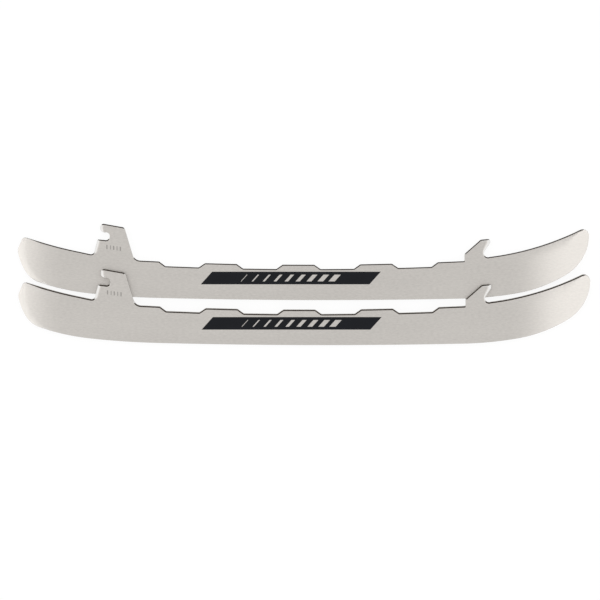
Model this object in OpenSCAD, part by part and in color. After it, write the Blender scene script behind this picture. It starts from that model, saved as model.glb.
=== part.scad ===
// A pair of steel ice hockey skate runners, laid on a table.
// One runner lies flat.
// The other leans on it, with its heel tab and toe hook over the first one's running edge.
// Each runner is a thin plate: heel towards -X, toe towards +X, holder side towards +Y.

/* [Runner plate] */
// Length over the heel and toe tips
runner_length = 271; // [262:1:282]
// Thickness of the steel
runner_thickness = 3; // [2.4:0.1:4]

/* [Running edge] */
// Radius of the long rocker
rocker_radius = 3050; // [2700:50:3600]
// How far ahead of mid-length the rocker is lowest
low_point = 10; // [6:0.5:14]
// Radius where the rocker starts to lift towards the heel
heel_sweep_radius = 370; // [330:5:410]
// Slope at which that sweep hands over to the heel curve, in degrees
heel_sweep_angle = 6.4; // [5.5:0.1:7.5]
// Radius of the heel curve
heel_curve_radius = 113; // [95:1:130]
// Slope at which the heel curve hands over to the heel corner, in degrees
heel_curve_angle = 18.7; // [16:0.1:21]
// Radius of the corner below the heel end
heel_corner_radius = 12; // [10:0.5:14]
// Slope at which that corner hands over to the heel end, in degrees
heel_corner_angle = 58.7; // [54:0.1:62]
// Radius of the heel end
heel_end_radius = 28; // [24:0.5:32]
// Slope at which the heel end hands over to the heel nose, in degrees
heel_end_angle = 78.6; // [75:0.1:82]
// Radius of the blunt nose at the rearmost point
heel_nose_radius = 4; // [3:0.5:6]
// Slope of the straight above the heel nose, in degrees
heel_nose_angle = 113; // [105:1:118]
// Radius where the rocker starts to lift towards the toe
toe_sweep_radius = 170; // [150:2:190]
// Slope at which that sweep hands over to the toe curve, in degrees
toe_sweep_angle = 9.9; // [9:0.1:11]
// Radius of the toe curve
toe_curve_radius = 68; // [60:1:76]
// Slope at which the toe curve hands over to the toe end, in degrees
toe_curve_angle = 31.6; // [28:0.1:35]
// Radius of the toe end
toe_end_radius = 22; // [19:0.5:25]
// Slope at which the toe end hands over to the toe tip, in degrees
toe_end_angle = 88.5; // [86:0.1:89.5]
// Radius of the toe tip
toe_tip_radius = 3; // [2:0.25:4]
// Slope at which the toe tip hands over to the upper edge, in degrees
toe_tip_angle = 206; // [203:0.5:209]

/* [Upper edge] */
// Length of the straight from the heel nose to the heel's upper corner
heel_straight = 5.5; // [4.5:0.1:6.5]
// Radius of the heel's upper corner
heel_top_round = 1.8; // [1:0.1:2.5]
// Fall of the upper edge from the heel's corner, in degrees
heel_top_slope = 17; // [15.5:0.1:18.5]
// Distance from the heel's corner to the bend of the upper edge
heel_top_run = 17.2; // [15:0.1:19]
// Radius of that bend
heel_top_radius = 190; // [120:5:200]
// Distance from the toe tip to the bend of the upper edge
toe_top_run = 22.3; // [20:0.1:24]
// Radius of that bend
toe_top_radius = 138; // [100:2:140]

/* [Seat] */
// Radius of the long hollow in which the seat pads lie
seat_radius = 1600; // [1300:50:2400]
// Height of the seat pads above the lowest point of the rocker
seat_height = 16.7; // [16:0.1:18]
// Place along the runner where the seat is lowest
seat_low_point = 2; // [-4:0.5:6]
// Number of relief notches in the seat
notch_count = 4; // [2:1:4]
// Distance between neighbouring notches
notch_pitch = 36.8; // [32:0.2:38]
// Place along the runner of the middle of the row of notches
notch_middle = -2.35; // [-4:0.05:0]
// Length of a notch's floor
notch_floor = 15.8; // [10:0.1:17]
// Length of each sloping end of a notch
notch_ramp = 3; // [1.5:0.1:3.4]
// Depth of a notch
notch_depth = 2.1; // [1:0.1:2.4]
// Rounding of a notch's corners
notch_round = 1; // [0.4:0.1:1.6]

/* [Pin notches] */
// Radius of the round notches that take the holder's cross pins
pin_notch_radius = 1.9; // [1.6:0.05:2.1]
// Place along the runner of the heel pin's centre
heel_pin_x = -93.76; // [-96:0.02:-92]
// Height of the heel pin's centre
heel_pin_height = 30.25; // [29:0.05:31]
// Distance along the runner from the heel pin to the toe pin
pin_spacing = 181.3; // [179:0.1:184]
// Height of the toe pin's centre
toe_pin_height = 22.15; // [21.5:0.05:22.8]

/* [Heel tab] */
// Distance from the heel pin forward to the foot of the tab
tab_foot_ahead = 13.55; // [12.5:0.05:14.5]
// Fillet at the front foot of the tab
tab_foot_fillet = 4; // [2:0.25:5]
// Distance from the heel pin forward to the tab's front corner
tab_corner_ahead = 8.85; // [7:0.05:10]
// Height of the tab's front corner above the heel pin
tab_corner_rise = 4.15; // [3.6:0.05:4.8]
// Rounding of the tab's front corner
tab_corner_round = 1.6; // [0.8:0.1:2.2]
// Height of the beak above the heel pin
beak_rise = 6.2; // [5.8:0.05:6.6]
// Distance that the beak reaches behind the heel pin
beak_reach = 2.6; // [1.8:0.1:2.8]
// Height of the beak's underside above the heel pin
beak_under_rise = 2.6; // [2.4:0.05:2.9]
// Rounding of the beak's nose
beak_round = 1.55; // [0.8:0.05:1.6]
// Distance that the lower lip reaches behind the heel pin
lip_reach = 3.9; // [3.4:0.1:4.6]
// Depth of the lower lip's corner below the heel pin
lip_drop = 1.5; // [1.3:0.05:1.8]
// Distance that the rear foot of the tab reaches behind the heel pin
tab_rear_reach = 5.8; // [5.2:0.05:6.4]
// Depth of the rear foot of the tab below the heel pin
tab_rear_drop = 8.85; // [8:0.05:9.2]
// Fillet at the rear foot of the tab
tab_rear_fillet = 1.6; // [1:0.1:2.6]

/* [Toe hook] */
// Distance from the toe pin back to the upright face of the hook
hook_face_back = 11.1; // [10:0.1:12]
// Height of the top of the upright face against the toe pin, negative below it
hook_face_rise = -0.3; // [-0.8:0.1:0.4]
// Distance from the toe pin back to the hook's shoulder
hook_shoulder_back = 3.45; // [3:0.05:4.5]
// Height of the hook's shoulder above the toe pin
hook_shoulder_rise = 6.45; // [6:0.05:7]
// Rounding of the hook's shoulder
hook_shoulder_round = 1.5; // [0.6:0.1:2]
// Distance that the hook's nose reaches ahead of the toe pin
hook_reach = 1.05; // [0.8:0.05:1.4]
// Height of the top of the nose above the toe pin
hook_top_rise = 6.85; // [6.6:0.05:7.4]
// Height of the bottom of the nose above the toe pin
hook_nose_rise = 4.9; // [4.4:0.05:5.4]
// Rounding of the nose
hook_nose_round = 0.9; // [0.4:0.05:1]
// Lean of the hook's underside from the upright, in degrees
hook_under_lean = 34; // [31:0.5:36]

/* [Edges] */
// Small rounding on the tips of the tab and the hook
tip_round = 0.6; // [0.3:0.05:0.7]
// Width of the ground bevel round the heel end
bevel_width = 3.2; // [1.5:0.1:3.6]
// Slope of the bevel, as depth for each millimetre of width
bevel_slope = 0.25; // [0.1:0.01:0.3]
// Radius of the bevel's inner edge
bevel_radius = 19.7; // [18.5:0.1:21]
// Height of the centre of the bevel's inner edge
bevel_height = 25; // [23.5:0.25:26.5]

/* [Print] */
// Depth of the etched field that holds the ink
ink_depth = 0.1; // [0.05:0.01:0.3]
// Length of the printed band
band_length = 80; // [60:1:88]
// Height of the printed band
band_height = 6; // [4:0.1:6.4]
// Place along the runner of the band's middle
band_middle = -6; // [-10:0.5:-2]
// Height of the band's lower side
band_low = 7.4; // [6.5:0.1:8]
// Slant of the band's ends and bars, in degrees from upright
band_slant = 42; // [20:1:50]
// Number of bare steel bars in the band
bar_count = 9; // [3:1:11]
// Width of the widest bare bar
bar_width = 3; // [1:0.1:3.4]
// Distance between neighbouring bars
bar_pitch = 5.2; // [4.5:0.1:5.4]
// Ink left above and below the bars
bar_border = 1.4; // [0.8:0.1:1.6]

/* [Pair] */
// Distance that the leaning runner lies in front of the flat one
pair_stagger = 21; // [18:0.1:26]
// Distance that the leaning runner lies towards the toe of the flat one
pair_shift = 0.4; // [0:0.1:2]
// Clearance where the leaning runner rests on the flat one
rest_gap = 0.1; // [0.05:0.05:0.4]

/* [Hidden] */

steel_colour = [0.76, 0.745, 0.725];
ink_colour = [0.12, 0.13, 0.15];

// Farthest that a straight piece of an arc may lie from the true curve
arc_tolerance = 0.005;
// Overshoot of cutting shapes past the faces that they cut
overcut = 1;
// How far the straight walls of a pin notch run into its round part
notch_overlap = 0.04;
// Most of a straight side that the roundings at its two ends may take up
side_fill = 0.99;
// Direction in which the heel bevel starts from its centre, and its sweep, in degrees
bevel_start = 150;
bevel_sweep = 105;
// Facets of a full round
$fn = 64;

heel_pin = [heel_pin_x, heel_pin_height];
toe_pin = [heel_pin_x + pin_spacing, toe_pin_height];

// Arcs from the rocker to the heel's upper straight, as radius and slope at the end
heel_arcs = [
    [heel_sweep_radius, heel_sweep_angle],
    [heel_curve_radius, heel_curve_angle],
    [heel_corner_radius, heel_corner_angle],
    [heel_end_radius, heel_end_angle],
    [heel_nose_radius, heel_nose_angle]
];

// Arcs from the rocker over the toe tip to the upper edge, as radius and slope at the end
toe_arcs = [
    [toe_sweep_radius, toe_sweep_angle],
    [toe_curve_radius, toe_curve_angle],
    [toe_end_radius, toe_end_angle],
    [toe_tip_radius, toe_tip_angle]
];

function unit(v) = v / norm(v);

function xy(p) = [p.x, p.y];

function backwards(list) = [for (i = [len(list) - 1:-1:0]) list[i]];

// Straight pieces that follow an arc within the tolerance
function arc_steps(radius, sweep) =
    max(2, ceil(abs(sweep) / (2 * acos(1 - arc_tolerance / radius))));

// Direction from an arc's centre to its edge, at a slope towards one end of the runner
function edge_way(side, slope) = [side * sin(slope), -cos(slope)];

// Length along the runner that the arcs after the rocker take up
function arcs_reach(arcs, k = 0) =
    k == len(arcs)
        ? 0
        : arcs[k][0] * (sin(min(arcs[k][1], 90)) - (k == 0 ? 0 : sin(arcs[k - 1][1])))
            + arcs_reach(arcs, k + 1);

// The rocker, long enough for the arcs after it to end at the given reach, and those arcs
function with_rocker(arcs, reach) = concat(
    [[rocker_radius, asin((reach - arcs_reach(arcs)) / (rocker_radius - arcs[0][0]))]],
    arcs
);

// Centre of arc number k, where each arc runs smoothly into the next
function arc_centre(arcs, side, k) =
    k == 0
        ? [low_point, rocker_radius]
        : arc_centre(arcs, side, k - 1)
            + (arcs[k - 1][0] - arcs[k][0]) * edge_way(side, arcs[k - 1][1]);

// Points along all the arcs, without the first one at the lowest point
function arcs_points(arcs, side) = [
    for (k = [0:len(arcs) - 1])
        let (
            centre = arc_centre(arcs, side, k),
            from = k == 0 ? 0 : arcs[k - 1][1],
            sweep = arcs[k][1] - from,
            steps = arc_steps(arcs[k][0], sweep)
        )
        for (i = [1:steps])
            centre + arcs[k][0] * edge_way(side, from + sweep * i / steps)
];

// Half of the angle between the two sides that meet at corner number i
function half_angle(corners, i) =
    acos(unit(xy(corners[i - 1] - corners[i])) * unit(xy(corners[i + 1] - corners[i]))) / 2;

// Length that the rounding of corner number i wants on each of its sides
function wanted_run(corners, i) =
    i == 0 || i == len(corners) - 1 ? 0 : corners[i].z / tan(half_angle(corners, i));

// Share of the wanted lengths that fits on the side between corner number i and the next
function side_share(corners, i) =
    let (wanted = wanted_run(corners, i) + wanted_run(corners, i + 1))
    wanted == 0 ? 1 : min(1, side_fill * norm(xy(corners[i + 1] - corners[i])) / wanted);

// An arc in place of corner number i, as large as its sides allow
function corner_points(corners, i) =
    let (
        at = xy(corners[i]),
        back = unit(xy(corners[i - 1]) - at),
        ahead = unit(xy(corners[i + 1]) - at),
        half = half_angle(corners, i),
        run = wanted_run(corners, i) * min(side_share(corners, i - 1), side_share(corners, i)),
        rounding = run * tan(half),
        centre = at + unit(back + ahead) * rounding / sin(half),
        start = at + back * run - centre,
        finish = at + ahead * run - centre,
        from = atan2(start.y, start.x),
        turn = atan2(cross(start, finish), start * finish),
        steps = arc_steps(rounding, turn)
    )
    [
        for (k = [0:steps])
            let (angle = from + turn * k / steps)
            centre + rounding * [cos(angle), sin(angle)]
    ];

// Corners given as x, y and radius, rounded where they have a radius, without the first and last
function rounded_line(corners) = [
    for (i = [1:len(corners) - 2])
        each corners[i].z == 0 ? [xy(corners[i])] : corner_points(corners, i)
];

// Height of the seat at a place along the runner
function seat_at(x) =
    seat_height + seat_radius - sqrt(pow(seat_radius, 2) - pow(x - seat_low_point, 2));

heel_edge = arcs_points(with_rocker(heel_arcs, runner_length / 2 + low_point), -1);
toe_edge = arcs_points(with_rocker(toe_arcs, runner_length / 2 - low_point), 1);
heel_nose_end = heel_edge[len(heel_edge) - 1];
toe_tip_end = toe_edge[len(toe_edge) - 1];

heel_corner = heel_nose_end + heel_straight * [-cos(heel_nose_angle), sin(heel_nose_angle)];
heel_bend = heel_corner + heel_top_run * [cos(heel_top_slope), -sin(heel_top_slope)];
toe_bend = toe_tip_end + toe_top_run * [cos(toe_tip_angle), sin(toe_tip_angle)];

// How near the straight walls of a pin notch pass to the pin's centre
wall_reach = pin_notch_radius - notch_overlap;
hook_wall = toe_pin + wall_reach * [-cos(hook_under_lean), sin(hook_under_lean)];
hook_nose = [toe_pin.x + hook_reach, toe_pin.y + hook_nose_rise];
hook_face_x = toe_pin.x - hook_face_back;

toe_hook_corners = [
    [toe_pin.x, toe_pin.y - wall_reach, 0],
    [hook_wall.x, hook_wall.y, 0],
    [hook_nose.x, hook_nose.y, hook_nose_round],
    [hook_nose.x, toe_pin.y + hook_top_rise, hook_nose_round],
    [toe_pin.x - hook_shoulder_back, toe_pin.y + hook_shoulder_rise, hook_shoulder_round],
    [hook_face_x, toe_pin.y + hook_face_rise, tip_round],
    [hook_face_x, seat_at(hook_face_x), tip_round]
];

seat_corners = [
    for (i = [notch_count - 1:-1:0])
        let (middle = notch_middle + (i - (notch_count - 1) / 2) * notch_pitch)
        for (end = [1, -1], top = end == 1 ? [1, 0] : [0, 1])
            let (x = middle + end * (notch_floor / 2 + top * notch_ramp))
            [x, seat_at(x) - (1 - top) * notch_depth, notch_round]
];

tab_foot_x = heel_pin.x + tab_foot_ahead;
// Where the beak's underside ends, inside the round of the heel pin's notch
beak_root = heel_pin + pin_notch_radius * [1, 2] / 3;

heel_tab_corners = [
    [tab_foot_x, seat_at(tab_foot_x), tab_foot_fillet],
    [heel_pin.x + tab_corner_ahead, heel_pin.y + tab_corner_rise, tab_corner_round],
    [heel_pin.x - beak_reach, heel_pin.y + beak_rise, beak_round],
    [heel_pin.x - beak_reach, heel_pin.y + beak_under_rise, beak_round],
    [beak_root.x, beak_root.y, 0],
    [heel_pin.x, heel_pin.y - wall_reach, 0],
    [heel_pin.x - lip_reach, heel_pin.y - lip_drop, tip_round],
    [heel_pin.x - tab_rear_reach, heel_pin.y - tab_rear_drop, tab_rear_fillet]
];

runner_outline = concat(
    [[low_point, 0]],
    toe_edge,
    rounded_line(concat(
        [[toe_tip_end.x, toe_tip_end.y, 0]],
        [[toe_bend.x, toe_bend.y, toe_top_radius]],
        toe_hook_corners,
        seat_corners,
        heel_tab_corners,
        [[heel_bend.x, heel_bend.y, heel_top_radius]],
        [[heel_corner.x, heel_corner.y, heel_top_round]],
        [[heel_nose_end.x, heel_nose_end.y, 0]]
    )),
    backwards(heel_edge)
);

// Lean that lifts the tabs of one runner just clear of the other's upper face
lean = atan((runner_thickness + rest_gap) / pair_stagger);
pair_top = heel_pin.y + beak_rise;
pair_bottom = -pair_stagger - runner_thickness * sin(lean);
pair_middle = (pair_top + pair_bottom) / 2;

// A slanted strip between two heights, with its lower left corner at the origin
module slanted_strip(length, height) {
    shear = height * tan(band_slant);
    polygon([[0, 0], [length, 0], [length + shear, height], [shear, height]]);
}

// The printed field: a slanted band with a row of bare bars that get thinner towards the heel
module print_field() {
    band_shear = band_height * tan(band_slant);
    bar_shear = bar_border * tan(band_slant);
    bars_length = (bar_count - 1) * bar_pitch + bar_width;
    translate([band_middle - (band_length + band_shear) / 2, band_low])
        difference() {
            slanted_strip(band_length, band_height);
            for (i = [0:bar_count - 1])
                translate([(band_length - bars_length) / 2 + i * bar_pitch + bar_shear, bar_border])
                    slanted_strip(bar_width * (i + 1) / bar_count, band_height - 2 * bar_border);
        }
}

// What the bevel grinds off the upper face round the heel end
module heel_bevel_cut() {
    ring_width = bevel_width + overcut;
    translate([-runner_length / 2 + bevel_width + bevel_radius, bevel_height, runner_thickness])
        rotate([0, 0, bevel_start])
            rotate_extrude(angle = bevel_sweep)
                polygon([
                    [bevel_radius, 0],
                    [bevel_radius + ring_width, -ring_width * bevel_slope],
                    [bevel_radius + ring_width, overcut],
                    [bevel_radius, overcut]
                ]);
}

module pin_notch(centre) {
    translate([centre.x, centre.y, -overcut])
        cylinder(r = pin_notch_radius, h = runner_thickness + 2 * overcut);
}

// Swaps the two faces of a runner
module on_under_face() {
    translate([0, 0, runner_thickness])
        mirror([0, 0, 1])
            children();
}

// One runner, flat, with its under face at height zero
module runner() {
    difference() {
        linear_extrude(runner_thickness)
            polygon(runner_outline);
        pin_notch(heel_pin);
        pin_notch(toe_pin);
        heel_bevel_cut();
        on_under_face()
            heel_bevel_cut();
        top_print(overcut);
        on_under_face()
            top_print(overcut);
    }
}

// The ink on a runner's upper face, with extra height where it serves as a cut
module top_print(extra = 0) {
    translate([0, 0, runner_thickness - ink_depth])
        linear_extrude(ink_depth + extra)
            print_field();
}

module flat_place() {
    translate([-pair_shift / 2, -pair_middle, 0])
        children();
}

module leaning_place() {
    translate([pair_shift / 2, -pair_middle - pair_stagger, 0])
        rotate([lean, 0, 0])
            children();
}

module flat_runner() {
    color(steel_colour)
        flat_place()
            runner();
}

module flat_runner_top_print() {
    color(ink_colour)
        flat_place()
            top_print();
}

module flat_runner_under_print() {
    color(ink_colour)
        flat_place()
            on_under_face()
                top_print();
}

module leaning_runner() {
    color(steel_colour)
        leaning_place()
            runner();
}

module leaning_runner_top_print() {
    color(ink_colour)
        leaning_place()
            top_print();
}

module leaning_runner_under_print() {
    color(ink_colour)
        leaning_place()
            on_under_face()
                top_print();
}

flat_runner();
flat_runner_top_print();
flat_runner_under_print();
leaning_runner();
leaning_runner_top_print();
leaning_runner_under_print();
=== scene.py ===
# %% [markdown]
# # A pair of ice hockey skate runners
# A runner is the steel plate under a hockey skate: 3 mm thick, 271 mm long, hooked into a plastic holder
# by a tab at the heel and a hook at the toe. Two of them lie here, the second one leaning on the first.
# The imported model gives the exact plates. This script adds what the tools of the workshop leave on them:
# eased rims, a hollow in the running edge, satin faces, a ground bevel at the heel, dull cut walls,
# lead-ins that shine and a black print. It also paints light and shade into colours: a painted highlight on
# the heel bevel, and painted shade, a dark colour, on the rims along the top edges.

# %% Load the imported model
import math

import bmesh
import bpy
from mathutils import Matrix, Vector


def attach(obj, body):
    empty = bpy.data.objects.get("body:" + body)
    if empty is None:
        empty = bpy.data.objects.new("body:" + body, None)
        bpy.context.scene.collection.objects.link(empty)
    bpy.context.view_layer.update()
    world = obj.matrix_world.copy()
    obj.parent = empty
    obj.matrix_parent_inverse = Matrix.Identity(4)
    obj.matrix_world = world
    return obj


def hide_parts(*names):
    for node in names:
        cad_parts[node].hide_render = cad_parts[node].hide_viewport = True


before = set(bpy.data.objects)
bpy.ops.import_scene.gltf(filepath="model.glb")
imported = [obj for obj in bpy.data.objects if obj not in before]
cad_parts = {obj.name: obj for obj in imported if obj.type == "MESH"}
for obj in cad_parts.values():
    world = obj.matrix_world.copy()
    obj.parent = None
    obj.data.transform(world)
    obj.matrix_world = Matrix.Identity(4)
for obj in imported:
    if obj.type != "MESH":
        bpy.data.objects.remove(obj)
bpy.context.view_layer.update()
MM = 0.001
print("plates and prints:", ", ".join(sorted(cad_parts)))

# %% [markdown]
# ## Where each runner lies
# Both plates have the same shape, so it is easiest to model them in one place: flat, running edge
# towards -Y, lowest point of the rocker at zero. A matrix for each plate then takes the work from there
# to the table. The lean is the angle at which the second plate's tabs just clear the first one's face.

# %% Places of the two plates
THICKNESS = 3 * MM
PLATE_HEIGHT = 36.45 * MM
STAGGER = 21 * MM
SHIFT = 0.4 * MM
REST_GAP = 0.1 * MM

lean = math.atan((THICKNESS + REST_GAP) / STAGGER)
middle = (PLATE_HEIGHT - STAGGER - THICKNESS * math.sin(lean)) / 2
places = {
    "flat_runner": Matrix.Translation((-SHIFT / 2, -middle, 0)),
    "leaning_runner": Matrix.Translation((SHIFT / 2, -middle - STAGGER, 0)) @ Matrix.Rotation(lean, 4, "X"),
}
print(f"the second plate leans {math.degrees(lean):.2f} degrees")

# %% [markdown]
# ## A clean copy of a plate
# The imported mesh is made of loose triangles. Merging their corners gives a closed shell again, and
# dissolving the edges inside its flat faces turns hundreds of slivers into a few large faces. Only edges
# between faces of one plane are dissolved, so that the curved outline keeps every corner.

# %% Plate copy
WELD = 0.01 * MM
SAME_PLANE = math.radians(0.02)
DISSOLVE_ANGLE = math.radians(0.05)


def same_plane(edge):
    """Whether an edge lies inside a flat stretch of the plate's faces or walls."""
    if len(edge.link_faces) != 2:
        return False
    one, two = edge.link_faces
    return one.normal.angle(two.normal, math.pi) < SAME_PLANE


def clean_plate(name):
    """A bmesh of one plate, moved to the place where it is modelled."""
    bm = bmesh.new()
    bm.from_mesh(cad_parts[name].data)
    bm.transform(places[name].inverted())
    bmesh.ops.remove_doubles(bm, verts=bm.verts, dist=WELD)
    inner = [e for e in bm.edges if same_plane(e)]
    bmesh.ops.dissolve_limit(bm, angle_limit=DISSOLVE_ANGLE, verts=[], edges=inner)
    return bm


# %% [markdown]
# ## Eased rims
# Stamping rolls the rim of a plate over a little, and the rims that lead into the holder are ground
# wider by hand, so that the tab and the hook slide in. Those wide rims catch the light. Along the top of
# the toe, the belt also rolled the face itself off a little. A bevel tool has one width and tangles at
# small tips, so the face is inset ring by ring instead, and each corner of a ring moves inwards from the
# outline by a width of its own. That width comes from where the corner is and which way it faces.

# %% Width of the rim
# Wide rims: middle and half size in mm, the side that they face, and their width in mm
LEAD_INS = [
    (-98.0, 26.0, 3.8, 4.75, -1, 1.75),
    (-96.0, 34.4, 3.2, 3.4, -1, 1.8),
    (86.6, 24.5, 2.8, 4.2, 1, 0.75),
    (86.4, 25.0, 2.0, 2.4, 1, 1.6),
    (88.6, 27.9, 3.4, 3.7, 1, 2.3),
]
LEAD_FULL = 0.6
# Here and below, a pair of facings says where a share starts and where it is full
LEAD_FACING = (0.6, 0.92)
GROUND_RIM = 0.06
CUT_RIM = 0.85
CUT_FACING = (0.35, 0.8)
# Both ends of the plate are ground round, so the cut rim lies between these and fades towards them
CUT_FROM, CUT_TO = -131.8, 133.5
CUT_FADE = 1.5


def smooth_step(low, high, value):
    """Zero below low, one above high, and a soft curve between them."""
    t = min(1, max(0, (value - low) / (high - low)))
    return t * t * (3 - 2 * t)


def rim_width(at, out):
    """Width in mm of the rim at a point of the outline, from where it is and where it faces."""
    x, y = at.x / MM, at.y / MM
    cut = smooth_step(*CUT_FACING, out.y) * smooth_step(0, CUT_FADE, min(x - CUT_FROM, CUT_TO - x))
    width = GROUND_RIM + (CUT_RIM - GROUND_RIM) * cut
    for middle_x, middle_y, half_x, half_y, side, wide in LEAD_INS:
        near = 1 - ((x - middle_x) / half_x) ** 2 - ((y - middle_y) / half_y) ** 2
        share = smooth_step(0, LEAD_FULL, near) * smooth_step(*LEAD_FACING, side * out.x)
        width += (wide - width) * share
    return width


print(f"rims: {GROUND_RIM} mm where ground, {CUT_RIM} mm where cut, {LEAD_INS[-1][-1]} mm on the hook")

# %% Width of the roll
TOE_ROLL = 4.5
ROLL_STARTS, ROLL_ENDS = (92, 108), (121, 131)
ROLL_FACING = (0.5, 0.8)


def toe_roll(at, out):
    """Width in mm of the soft roll next to the rim, only along the upper edge of the toe."""
    x = at.x / MM
    along = smooth_step(*ROLL_STARTS, x) * (1 - smooth_step(*ROLL_ENDS, x))
    return TOE_ROLL * along * smooth_step(*ROLL_FACING, out.y)


# %% [markdown]
# ## The outline of a face
# At each corner of the outline two walls meet. The way inwards lies between them. It is longer where the
# walls turn, so that a rim keeps its width along both of them.

# %% Rim of a corner
# A face is a wall where its normal rises less than this
UPRIGHT = 0.5


def outline_of(face):
    """The corners round a region of faces, in order."""
    inside = set(face)
    after = {}
    for f in face:
        for loop in f.loops:
            if any(other not in inside for other in loop.edge.link_faces):
                after[loop.vert] = loop.link_loop_next.vert
    order = [next(iter(after))]
    while after[order[-1]] is not order[0]:
        order.append(after[order[-1]])
    return order


def rim_of(corner, face):
    """A corner's place, the way inwards for each metre of rim, and the widths of its rim and roll."""
    walls = [f.normal for f in corner.link_faces if f not in face and abs(f.normal.z) < UPRIGHT]
    inwards = -(walls[0] + walls[-1]) / (1 + walls[0].dot(walls[-1]))
    out = -inwards.normalized()
    return corner.co.copy(), inwards, rim_width(corner.co, out) * MM, toe_roll(corner.co, out) * MM


# %% [markdown]
# ## Rings of a rim
# A ring sinks the more, the nearer it is to the wall. Where a rim is wider than a tip is round, the
# corners of a ring would overtake each other. There the whole arc shrinks to the point where the two
# sides next to it meet, at the lower height of the two.

# %% How far a ring sinks
# Each ring's share of the rim's width and of the roll's width
RINGS = [(0, 0), (0.25, 0), (0.6, 0), (1, 0), (1, 0.5), (1, 1)]
RIM_DROP = 0.45
ROLL_DROP = 0.058
DROP_CURVE = 2


def corner_drop(rim, reach, rolled):
    """How far a ring's corner sinks next to its own corner of the outline."""
    _, _, width, roll = rim
    return width * RIM_DROP * (1 - reach) ** DROP_CURVE + roll * ROLL_DROP * (1 - rolled) ** DROP_CURVE


def side_drop(rim, way, spot):
    """How far the rim along a straight side sinks at a spot."""
    start, inwards, width, _ = rim
    across = Vector((-way.y, way.x)).normalized()
    across *= math.copysign(1, across.dot(inwards.xy))
    share = min(1, max(0, 1 - (spot - start.xy).dot(across) / width))
    return width * RIM_DROP * share**DROP_CURVE


# %% Places of a ring
# Shorter sides belong to an arc, and an arc is tight where a side keeps less than this share of its length
ARC_STEP = 0.5 * MM
TIGHT = 0.2
PARALLEL = 0.05


def meeting_point(one, one_way, two, two_way):
    """Where two lines in the plane cross, or the middle between their points if they hardly do."""
    turn = one_way.cross(two_way)
    if abs(turn) < PARALLEL:
        return (one + two) / 2
    return one + one_way * ((two - one).cross(two_way) / turn)


def ring_spots(rims, reach, rolled):
    """The places of a ring's corners on the face, and how far they sink."""
    count = len(rims)
    full = [(start + inwards * width).xy for start, inwards, width, _ in rims]
    spots = [(start + inwards * (width * reach + roll * rolled)).xy for start, inwards, width, roll in rims]
    drops = [corner_drop(rim, reach, rolled) for rim in rims]
    steps = [(rims[(i + 1) % count][0] - rims[i][0]).xy for i in range(count)]
    short = [step.length < ARC_STEP for step in steps]

    def tight(ring, arc):
        shares = [(ring[b] - ring[a]).dot(steps[a]) / steps[a].length_squared for a, b in zip(arc, arc[1:])]
        return min(shares) < TIGHT

    for first in [i for i in range(count) if short[i] and not short[i - 1]]:
        arc = [first]
        while short[arc[-1]]:
            arc.append((arc[-1] + 1) % count)
        last = arc[-1]
        if tight(spots, arc):
            before = (spots[first] - spots[first - 1]).normalized()
            after = (spots[(last + 1) % count] - spots[last]).normalized()
            place = meeting_point(spots[first], before, spots[last], after)
            for i in arc:
                spots[i] = place
        if tight(full, arc):
            for i in arc:
                one = side_drop(rims[first], steps[first - 1], spots[i])
                two = side_drop(rims[last], steps[last], spots[i])
                drops[i] = max(one, two)
    return spots, drops


# %% [markdown]
# ## Rolling a rim over
# The inset operator makes the rings, all of them a hair wide. Each new corner is linked to its corner of
# the outline, so it can then go to its own place. The rims along the top edges are marked here for a dark
# colour, painted shade, where it is known which ring is which.

# %% Rolled rims
# The finishes of a plate, in the order of its material slots
# The last slot holds no finish but a dark colour, painted shade for the rims along the top edges
SATIN, CUT, GROUND, BRIGHT, PAINTED_SHADE = range(5)
HAIR = 0.01 * MM
RING_WELD = 0.0005 * MM
# The last ring that gets the painted shade, how far along Y its rim has to face, and the rim's greatest
# width
PAINTED_SHADE_LEVEL = 2
PAINTED_SHADE_FACING = 0.6
PAINTED_SHADE_WIDTH = 1.02 * CUT_RIM * MM


def keeps_skin(rim):
    """Whether the rim at a corner faces up the plate and gets the dark colour of painted shade."""
    _, inwards, width, _ = rim
    return inwards.normalized().y < -PAINTED_SHADE_FACING and width < PAINTED_SHADE_WIDTH


def in_order(faces):
    """The edges of some faces, once each, in an order that is the same in every run, as a set's isn't."""
    return list(dict.fromkeys(e for f in faces for e in f.edges))


def inset_rings(bm, face, order):
    """Insets a face once for each ring, and gives each new corner's number in the outline and its ring."""
    corner_of = {v: i for i, v in enumerate(order)}
    level_of = {}
    for level in range(1, len(RINGS)):
        ring = bmesh.ops.inset_region(bm, faces=face, thickness=HAIR, use_boundary=True)["faces"]
        inside = {v for f in face for v in f.verts}
        for e in in_order(ring):
            inner = [v for v in e.verts if v in inside]
            if len(inner) == 1:
                v, outer = inner[0], e.other_vert(inner[0])
                corner_of[v] = corner_of[outer] = corner_of.get(v, corner_of.get(outer))
                level_of[v], level_of[outer] = level, level - 1
    return corner_of, level_of


def ease_rim(bm, side):
    """Rolls the rim of the upper face, side 1, or of the under face, side -1."""
    face = [f for f in bm.faces if all((v.co.z - THICKNESS / 2) * side > 0 for v in f.verts)]
    order = outline_of(face)
    rims = [rim_of(v, set(face)) for v in order]
    corner_of, level_of = inset_rings(bm, face, order)
    rings = [ring_spots(rims, reach, rolled) for reach, rolled in RINGS]
    for v, level in level_of.items():
        spots, drops = rings[level]
        i = corner_of[v]
        v.co = (*spots[i], rims[i][0].z - side * drops[i])
    # Rims facing up the plate are painted dark, as shade
    dark = {v for v, level in level_of.items() if level <= PAINTED_SHADE_LEVEL and keeps_skin(rims[corner_of[v]])}
    for f in bm.faces:
        if dark.issuperset(f.verts):
            f.material_index = PAINTED_SHADE
    bmesh.ops.remove_doubles(bm, verts=list(level_of), dist=RING_WELD)
    return len(order)


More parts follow.
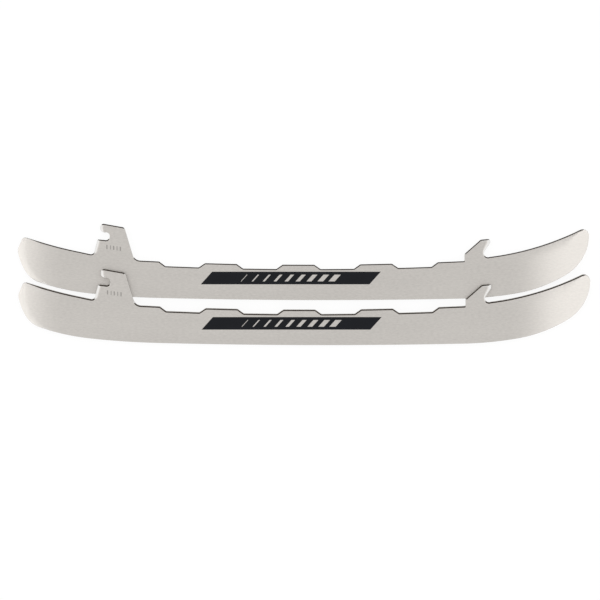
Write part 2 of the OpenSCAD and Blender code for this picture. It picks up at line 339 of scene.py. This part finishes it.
# %% [markdown]
# ## The hollow in the running edge
# A sharpened runner rides on two thin edges: the wheel cuts a shallow groove, here on a radius of
# 12.7 mm, along the middle of the wall. It is under a tenth of a millimetre deep, yet it changes how the
# edge shines. The wall is cut into strips and the new corners are pushed in by the depth of the circle.

# %% Hollow
HOLLOW_RADIUS = 12.7 * MM
HOLLOW_CUTS = 5
HOLLOW_FACING = (0.3, 0.6)


def running_wall(face):
    """Whether a face belongs to the ground running edge."""
    return abs(face.normal.z) < UPRIGHT and face.normal.y < -HOLLOW_FACING[0]


def grind_hollow(bm):
    """Cuts the groove along the running edge and returns its deepest point."""
    bm.normal_update()
    walls = [f for f in bm.faces if running_wall(f)]
    upright = [e for e in in_order(walls) if abs(e.verts[0].co.z - e.verts[1].co.z) > THICKNESS / 4]
    out_of = {}
    for e in upright:
        out = sum((f.normal for f in e.link_faces), Vector()).normalized()
        for v in e.verts:
            out_of[v.co.xy.copy().freeze()] = out
    made = bmesh.ops.subdivide_edges(bm, edges=upright, cuts=HOLLOW_CUTS, use_grid_fill=True)
    fresh = [v for v in dict.fromkeys(made["geom_inner"]) if isinstance(v, bmesh.types.BMVert)]
    rim_level = math.sqrt(HOLLOW_RADIUS**2 - (THICKNESS / 2) ** 2)
    deepest = 0
    for v in fresh:
        out = min(out_of.items(), key=lambda item: (item[0] - v.co.xy).length)[1]
        depth = math.sqrt(HOLLOW_RADIUS**2 - (v.co.z - THICKNESS / 2) ** 2) - rim_level
        depth *= smooth_step(*HOLLOW_FACING, -out.y)
        v.co -= out * depth
        deepest = max(deepest, depth)
    return deepest


# %% [markdown]
# ## Shader sums in Python
# A finish is a sum of patterns. Wiring such a sum by hand takes dozens of nodes, so a small class wraps
# an output socket and lets Python's own operators add the Math nodes. Any other node comes from its one
# method, which takes the node's type, its settings and its inputs.


# %% Wire class
class Wire:
    """An output socket that takes part in Python sums."""

    def __init__(self, tree, socket=None):
        self.tree, self.socket = tree, socket

    def node(self, kind, settings, inputs, output=0):
        made = self.tree.nodes.new(kind)
        for name, value in settings.items():
            setattr(made, name, value)
        for name, value in inputs.items():
            if isinstance(value, Wire):
                self.tree.links.new(value.socket, made.inputs[name])
            else:
                made.inputs[name].default_value = value
        return Wire(self.tree, made.outputs[output] if made.outputs else None)

    def math(self, operation, *values):
        return self.node("ShaderNodeMath", {"operation": operation}, dict(enumerate(values)))

    def __add__(self, other):
        return self.math("ADD", self, other)

    def __radd__(self, other):
        return self.math("ADD", other, self)

    def __sub__(self, other):
        return self.math("SUBTRACT", self, other)

    def __rsub__(self, other):
        return self.math("SUBTRACT", other, self)

    def __mul__(self, other):
        return self.math("MULTIPLY", self, other)

    def __rmul__(self, other):
        return self.math("MULTIPLY", other, self)

    def __abs__(self):
        return self.math("ABSOLUTE", self)

    def other(self, output):
        """Another output of the node that this wire comes from."""
        return Wire(self.tree, self.socket.node.outputs[output])

    def soft_step(self, low, high):
        """Zero at low, one at high, with a soft curve between."""
        return self.node(
            "ShaderNodeMapRange",
            {"interpolation_type": "SMOOTHSTEP"},
            {"Value": self, "From Min": low, "From Max": high},
        )

    def noise(self, stretch, detail=2.0):
        """Noise on these coordinates, with so many waves to the metre along each axis, from -1 to 1."""
        spread = self.node("ShaderNodeMapping", {}, {"Vector": self, "Scale": stretch})
        noise = self.node("ShaderNodeTexNoise", {}, {"Vector": spread, "Scale": 1.0, "Detail": detail})
        return (noise - 0.5) * 2.0

    def tint(self, dark, light):
        """A colour between two others, by this share."""
        return self.node(
            "ShaderNodeMix",
            {"data_type": "RGBA"},
            {"Factor": self, 6: dark, 7: light},
            output=2,
        )

    def bump(self, strength, depth):
        """Normals that follow this height, at so much strength and with a depth in mm."""
        inputs = {"Strength": strength, "Distance": depth * MM, "Height": self}
        return self.node("ShaderNodeBump", {}, inputs)


# %% [markdown]
# ## Start and end of a finish
# Every finish starts from the coordinates of the plate as it was modelled, so that a pattern follows the
# leaning plate too, and ends in a Principled surface.


# %% Material helpers
def new_material(name):
    """An empty node material and a wire in it."""
    material = bpy.data.materials.new(name)
    material.use_nodes = True
    material.node_tree.nodes.clear()
    return material, Wire(material.node_tree)


def plate_coordinates(wire, place):
    """Object coordinates, taken back to where the plate was modelled."""
    spot = wire.node("ShaderNodeTexCoord", {}, {}, output="Object")
    return wire.node(
        "ShaderNodeMapping",
        {"vector_type": "TEXTURE"},
        {"Vector": spot, "Location": place.translation, "Rotation": place.to_euler()},
    )


def shade(wire, **inputs):
    """Closes a material with a Principled surface."""
    named = {name.replace("_", " "): value for name, value in inputs.items()}
    surface = wire.node("ShaderNodeBsdfPrincipled", {}, named)
    wire.node("ShaderNodeOutputMaterial", {}, {"Surface": surface})


def grey(colour, share=1.0):
    """A colour, lighter or darker by a share, as a shader's four numbers."""
    return tuple(c * share for c in colour) + (1.0,)


# %% [markdown]
# ## The heel of a face
# Two things mark the faces at the heel. The bevel round the heel end is ground, and its colour is painted
# lighter towards its outer edge: a painted highlight. By hand a bevel has no hard border, so the
# highlight's share grows with the distance from the middle of the bevel's arc. A row of plain strokes is
# etched into the tab.

# %% Bevel and strokes
# In mm: the middle of the bevel's arc, the radii between which its painted highlight grows, and where it
# runs out
BEVEL_MIDDLE = (-112.6, 25.0)
BEVEL_RADII = (18.3, 22.0)
BEVEL_END = (-122.0, -114.0)
# In mm: the place and width of each stroke, half its length, and the middle of the row, which slants
STROKES = [(-93.2, 0.6), (-91.5, 0.4), (-90.0, 0.6), (-88.4, 0.4), (-86.8, 0.6)]
HALF_STROKE = 1.0
ROW_MIDDLE = (-90.0, 24.7)
ROW_SLANT = -0.14
# Where a stroke's soft border starts and ends, as shares of its width and of its half length
STROKE_SIDE = (0.35, 0.65)
STROKE_TIP = (0.85, 1.1)


def bevel_share(x, y):
    """One where the heel bevel carries its full painted highlight, towards its outer edge, zero on the
    face.
    """
    along, across = x - BEVEL_MIDDLE[0] * MM, y - BEVEL_MIDDLE[1] * MM
    away = x.math("SQRT", along * along + across * across)
    near, far = BEVEL_RADII
    left, right = BEVEL_END
    return away.soft_step(near * MM, far * MM) * (1 - x.soft_step(left * MM, right * MM))


def etched_strokes(x, y):
    """One on the strokes etched into the heel tab, zero elsewhere."""
    rise = abs(y - (x - ROW_MIDDLE[0] * MM) * ROW_SLANT - ROW_MIDDLE[1] * MM)
    strokes = 0.0
    for place_x, width in STROKES:
        near, far = (share * width * MM for share in STROKE_SIDE)
        strokes = strokes + (1 - abs(x - place_x * MM).soft_step(near, far))
    near, far = (share * HALF_STROKE * MM for share in STROKE_TIP)
    return strokes * (1 - rise.soft_step(near, far))


# %% [markdown]
# ## Satin steel
# The faces are belt ground along their length and then left satin, so the grain is fine and drawn out
# along the plate, with wider streaks where the belt ran warm and a soft cloudiness over it all.
# Everything is low in contrast: from an arm's length the plate is one grey.

# %% Satin steel finish
STEEL = (0.519, 0.496, 0.468)
# The lighter colour of the heel bevel is a painted highlight
BEVEL_HIGHLIGHT_STEEL = (0.623, 0.597, 0.565)
# Waves to the metre along the plate, across it and through it
GRAIN, STREAKS, CLOUDS = (620, 1700, 1700), (9, 260, 260), (22, 40, 40)


def satin_steel(name, place):
    """The finish of a plate's faces."""
    material, wire = new_material(name)
    plate = plate_coordinates(wire, place)
    grain = plate.noise(GRAIN, detail=3.0)
    streaks = plate.noise(STREAKS)
    clouds = plate.noise(CLOUDS)
    x = wire.node("ShaderNodeSeparateXYZ", {}, {"Vector": plate})
    y = x.other("Y")
    etch = etched_strokes(x, y)
    tone = 0.5 + grain * 0.5 + streaks * 0.1 + clouds * 0.12
    face = tone.tint(grey(STEEL, 0.86), grey(STEEL, 1.14))
    marked = etch.tint(face, grey(STEEL, 0.58))
    height = grain * 0.6 + streaks * 0.4 - etch * 2.0
    shade(
        wire,
        # The base colour carries the painted highlight of the heel bevel
        Base_Color=bevel_share(x, y).tint(marked, grey(BEVEL_HIGHLIGHT_STEEL)),
        Metallic=1.0,
        Roughness=0.36 + grain * 0.05 + clouds * 0.04 + etch * 0.15,
        Normal=height.bump(0.12, 0.02),
    )
    return material


# %% [markdown]
# ## Cut walls
# The walls round the seat, the tab and the hook are left as they were cut: dull, and finely ribbed across
# the thickness. They read the same plate coordinates as the faces, only stretched another way.

# %% Cut wall finish
RIBS, BLOTCHES = (1900, 1900, 120), (160, 160, 400)


def cut_wall(name, place):
    """The dull, ribbed wall of the cut outline."""
    material, wire = new_material(name)
    plate = plate_coordinates(wire, place)
    ribs = plate.noise(RIBS, detail=3.0)
    blotches = plate.noise(BLOTCHES)
    tone = 0.5 + ribs * 0.35 + blotches * 0.25
    shade(
        wire,
        Base_Color=tone.tint(grey(STEEL, 0.8), grey(STEEL, 1.05)),
        Metallic=1.0,
        Roughness=0.75 + ribs * 0.1,
        Normal=ribs.bump(0.3, 0.05),
    )
    return material


# %% [markdown]
# ## The running edge
# The running edge and both ends have been under the sharpening stone, which leaves them bright with a
# grain along their length.

# %% Running edge finish
STONE_GRAIN, CHATTER = (70, 70, 5200), (900, 900, 40)


def ground_edge(name, place):
    """The bright wall of the running edge and the ends."""
    material, wire = new_material(name)
    plate = plate_coordinates(wire, place)
    grain = plate.noise(STONE_GRAIN, detail=3.0)
    chatter = plate.noise(CHATTER)
    tone = 0.5 + grain * 0.3 + chatter * 0.12
    shade(
        wire,
        Base_Color=tone.tint(grey(STEEL, 0.95), grey(STEEL, 1.3)),
        Metallic=1.0,
        Roughness=0.26 + grain * 0.06,
        Normal=grain.bump(0.15, 0.02),
    )
    return material


# %% [markdown]
# ## Bright rims and painted shade
# The lead-ins are ground, so that they mirror the room more sharply than the faces. The rims along the top
# edges get a dark colour instead, painted shade that draws a thin line along the top of the plate. Both
# are one finish in two colours.

# %% Rim finishes
RIM_STEEL, RIM_ROUGHNESS = (0.575, 0.565, 0.552), 0.24
# A dark colour painted on the rims along the top edges, where shade falls
PAINTED_SHADE_STEEL, PAINTED_SHADE_ROUGHNESS = (0.035, 0.027, 0.021), 0.5
NICKS = (700, 700, 700)


def rim_steel(name, place, colour, roughness):
    """A smooth rim between a face and its wall."""
    material, wire = new_material(name)
    plate = plate_coordinates(wire, place)
    nicks = plate.noise(NICKS, detail=3.0)
    tone = 0.5 + nicks * 0.3
    shade(
        wire,
        Base_Color=tone.tint(grey(colour, 0.94), grey(colour, 1.06)),
        Metallic=1.0,
        Roughness=roughness + nicks * 0.05,
        Normal=nicks.bump(0.1, 0.02),
    )
    return material


def bright_rim(name, place):
    """The ground rim of a lead-in."""
    return rim_steel(name, place, RIM_STEEL, RIM_ROUGHNESS)


def dark_rim(name, place):
    """A rim painted dark, as painted shade along the top edges of the plate."""
    return rim_steel(name, place, PAINTED_SHADE_STEEL, PAINTED_SHADE_ROUGHNESS)


# %% [markdown]
# ## The two plates
# Now the pieces come together: a clean copy, rims on both faces, the hollow, a finish for each kind of
# face, and then back to the table. Smooth shading with weighted normals keeps the large faces flat while
# the narrow rims round over. The piece stands for the imported plate, which only stays for collision,
# hidden.

# %% Finish of a face
# How far a face's normal may rise on a bright rim and on a wall
RIM_TILT = math.cos(math.radians(15))
WALL_TILT = 0.3
# Lower walls are only the border of the shallow field for the print
WALL_HEIGHT = 0.2 * MM


def finish_number(face):
    """The material slot of a face."""
    # Faces marked while the rims were rolled keep their painted shade
    if face.material_index == PAINTED_SHADE:
        return PAINTED_SHADE
    heights = [v.co.z for v in face.verts]
    tilt = abs(face.normal.z)
    at_end = not CUT_FROM < face.calc_center_median().x / MM < CUT_TO
    if running_wall(face) or (tilt < UPRIGHT and at_end):
        return GROUND
    if tilt < WALL_TILT:
        return CUT if max(heights) - min(heights) > WALL_HEIGHT else SATIN
    return BRIGHT if tilt < RIM_TILT else SATIN


# %% Build the plates
SHARP_ANGLE = math.radians(38)
FINISHES = {SATIN: satin_steel, CUT: cut_wall, GROUND: ground_edge, BRIGHT: bright_rim, PAINTED_SHADE: dark_rim}


def make_plate(name):
    """The finished piece for one runner."""
    place = places[name]
    bm = clean_plate(name)
    rims = ease_rim(bm, 1) + ease_rim(bm, -1)
    depth = grind_hollow(bm)
    bm.normal_update()
    for f in bm.faces:
        f.smooth = True
        f.material_index = finish_number(f)
    for e in bm.edges:
        e.smooth = len(e.link_faces) == 2 and e.calc_face_angle() < SHARP_ANGLE
    bm.transform(place)
    mesh = bpy.data.meshes.new(name + "_steel")
    bm.to_mesh(mesh)
    bm.free()
    piece = bpy.data.objects.new(name + "_steel", mesh)
    bpy.context.scene.collection.objects.link(piece)
    for number in sorted(FINISHES):
        finish = FINISHES[number]
        mesh.materials.append(finish(f"{name}_{finish.__name__}", place))
    normals = piece.modifiers.new("flat faces", "WEIGHTED_NORMAL")
    normals.keep_sharp = True
    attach(piece, name)
    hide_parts(name)
    print(f"{name}: {len(mesh.polygons)} faces, {rims} rim corners, hollow {depth / MM:.3f} mm deep")


for plate_name in places:
    make_plate(plate_name)

# %% [markdown]
# ## The print
# A black band with bare bars is printed into a shallow etched field on both faces. The ink of the packed
# model already has its shape and its place, so it only needs a finish: matt black with a bluish cast, a
# fine speckle from the screen and a slightly uneven film.

# %% Ink
THIN_INK, THICK_INK = (0.007, 0.008, 0.011), (0.002, 0.0025, 0.004)
INK_GLOSS = 0.14
SPECKLE, FILM = (4200, 4200, 4200), (120, 260, 260)


def print_ink(name, place):
    """The matt black ink."""
    material, wire = new_material(name)
    plate = plate_coordinates(wire, place)
    speckle = plate.noise(SPECKLE, detail=1.0)
    film = plate.noise(FILM)
    tone = 0.5 + speckle * 0.3 + film * 0.3
    shade(
        wire,
        Base_Color=tone.tint(grey(THICK_INK), grey(THIN_INK)),
        Roughness=0.55 + film * 0.08,
        Specular_IOR_Level=INK_GLOSS,
        Normal=speckle.bump(0.1, 0.01),
    )
    return material


for plate_name, place in places.items():
    ink = print_ink(plate_name + "_ink", place)
    for side in ("top", "under"):
        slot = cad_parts[f"{plate_name}_{side}_print"].material_slots[0]
        slot.link = "OBJECT"
        slot.material = ink
print("ink on four print fields")

# %% [markdown]
# ## Camera
# The picture is taken from almost straight above with a long lens, so that both plates, the flat one and
# the leaning one, show their faces. The distance and the lens give the frame its width on the table.

# %% Camera
TIP = math.radians(-2)
DISTANCE = 4
FRAME_WIDTH = 284.5 * MM
AIM = Vector((-1.82, -7.535, 3)) * MM
SENSOR = 36
CLIP = (0.01, 100)

lens = bpy.data.cameras.new("camera")
lens.sensor_width = SENSOR
lens.lens = SENSOR * DISTANCE / FRAME_WIDTH
lens.clip_start, lens.clip_end = CLIP
camera = bpy.data.objects.new("camera", lens)
camera.rotation_euler = (-TIP, 0, 0)
camera.location = AIM + DISTANCE * Vector((0, math.sin(TIP), math.cos(TIP)))
bpy.context.scene.collection.objects.link(camera)
bpy.context.scene.camera = camera
bpy.context.scene.view_settings.view_transform = "Standard"
print(f"lens {lens.lens:.0f} mm")

# %% [markdown]
# ## Floor and light
# The plates lie on white. The floor is mostly self-lit for the camera and for reflections, so it stays
# white without more light on the steel, and its other part still takes the shadow. The room is white
# too. A lamp at each side lights the wide rims, and a lamp with a narrow beam over each end makes the
# faces brighter towards the tips.

# %% Floor
WHITE = (1.0, 1.0, 1.0)
FLOOR_SIZE = 30
FLOOR_DROP = 0.02 * MM
FLOOR_PAPER = 0.95
FLOOR_GLOW = 0.9

bpy.ops.mesh.primitive_plane_add(size=FLOOR_SIZE, location=(0, 0, -FLOOR_DROP))
floor = bpy.context.object
floor.name = "floor"
floor_white, wire = new_material("floor_white")
camera_ray = wire.node("ShaderNodeLightPath", {}, {}, output="Is Camera Ray")
seen = wire.math("MAXIMUM", camera_ray, camera_ray.other("Is Glossy Ray"))
seen = wire.math("MAXIMUM", seen, camera_ray.other("Is Transmission Ray"))
paper = wire.node("ShaderNodeBsdfDiffuse", {}, {"Color": grey(WHITE, FLOOR_PAPER)})
glow = wire.node("ShaderNodeEmission", {}, {"Color": grey(WHITE), "Strength": 1.0})
mixed = wire.node("ShaderNodeMixShader", {}, {"Fac": seen * FLOOR_GLOW, 1: paper, 2: glow})
wire.node("ShaderNodeOutputMaterial", {}, {"Surface": mixed})
floor.data.materials.append(floor_white)
print(f"floor {FLOOR_SIZE} m wide")

# %% White surroundings
world = bpy.data.worlds.new("white_room")
bpy.context.scene.world = world
world.use_nodes = True
world.node_tree.nodes.clear()
wire = Wire(world.node_tree)
white = wire.node("ShaderNodeBackground", {}, {"Color": grey(WHITE), "Strength": 1.0})
wire.node("ShaderNodeOutputWorld", {}, {"Surface": white})

# %% Lamps
SIDE_PLACE = (0.4, -0.04, 0.31)
SIDE_SIZE = (0.52, 0.9)
SIDE_POWER = 0.72
# The narrow lamps, and the spots in a plate's own plane over which they stand
END_SIZE = (0.1, 0.16)
END_POWER = 0.0016
END_HEIGHT = 0.15
END_SPREAD = 13
HEEL_SPOT, TOE_SPOT = (-0.178, 0.018), (0.162, 0.02)


def soft_lamp(name, place, aim, size, power, spread=180):
    """A rectangular lamp that the camera doesn't see, with its second side along Y."""
    back = (place - aim).normalized()
    across = Vector((0, 1, 0)).cross(back).normalized()
    light = bpy.data.lights.new(name, "AREA")
    light.shape = "RECTANGLE"
    light.size, light.size_y = size
    light.energy = power
    light.spread = math.radians(spread)
    lamp = bpy.data.objects.new(name, light)
    lamp.location = place
    lamp.rotation_euler = Matrix((across, back.cross(across), back)).transposed().to_euler()
    lamp.visible_camera = False
    bpy.context.scene.collection.objects.link(lamp)


def mirror_lamp(name, place, spot):
    """A narrow lamp where the camera, mirrored in a plate's face at a spot of the plate, would look."""
    aim = place @ Vector((*spot, THICKNESS))
    out = place.to_3x3() @ Vector((0, 0, 1))
    view = (aim - camera.location).normalized()
    soft_lamp(name, aim + view.reflect(out) * END_HEIGHT, aim, END_SIZE, END_POWER, END_SPREAD)


away, along, up = SIDE_PLACE
for side in (-1, 1):
    soft_lamp("side_lamp", Vector((side * away, along, up)), Vector((0, 0, 0)), SIDE_SIZE, SIDE_POWER)
for place in places.values():
    mirror_lamp("heel_lamp", place, HEEL_SPOT)
    mirror_lamp("toe_lamp", place, TOE_SPOT)
print("white room and six lamps made")
